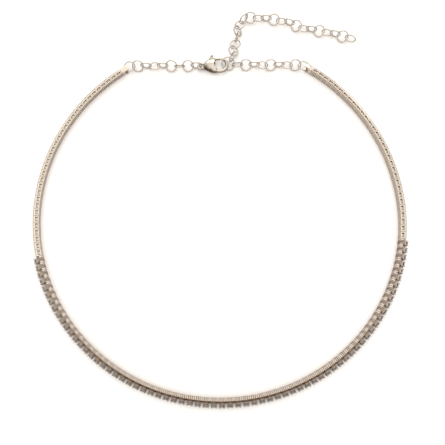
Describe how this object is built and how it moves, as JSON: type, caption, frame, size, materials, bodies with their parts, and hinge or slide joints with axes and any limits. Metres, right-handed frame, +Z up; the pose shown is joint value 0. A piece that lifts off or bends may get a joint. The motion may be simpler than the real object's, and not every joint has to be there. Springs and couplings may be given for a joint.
{
  "type": "stone-set choker necklace",
  "caption": "Flexible choker: a band of hinged box links carrying a row of round cut stones, closed by a cable chain with a claw clasp and a free extender chain.",
  "frame": {"origin": "centre of the bounding box, on the surface that the necklace lies on", "axes": "+Z up, +Y towards the clasp at the back of the neck, +X to the end with the shorter plain section"},
  "size_m": [0.1215, 0.1385, 0.0043],
  "materials": {
    "white_gold": "polished pale warm white gold",
    "cut_stone": "clear faceted stone"
  },
  "bodies": {
    "necklace": {"plain_links_right": "white_gold", "stone_settings_right": "white_gold", "stone_settings_left": "white_gold", "stones": "cut_stone", "plain_links_left": "white_gold", "end_cap_right": "white_gold", "end_cap_left": "white_gold", "chain_left": "white_gold", "chain_right": "white_gold", "clasp_ring": "white_gold", "extender_chain": "white_gold", "clasp_body": "white_gold"},
    "clasp_lever": {"clasp_lever": "white_gold"}
  },
  "joints": [
    {"name": "clasp_lever_hinge", "type": "hinge", "parent": "necklace", "child": "clasp_lever", "pos_m": [-0.00286, 0.04593, 0.0012], "axis": [0, 0, 1], "range_deg": [0, 20], "stiffness_Nm_per_rad": 0.001, "springref_deg": -28.65}
  ]
}
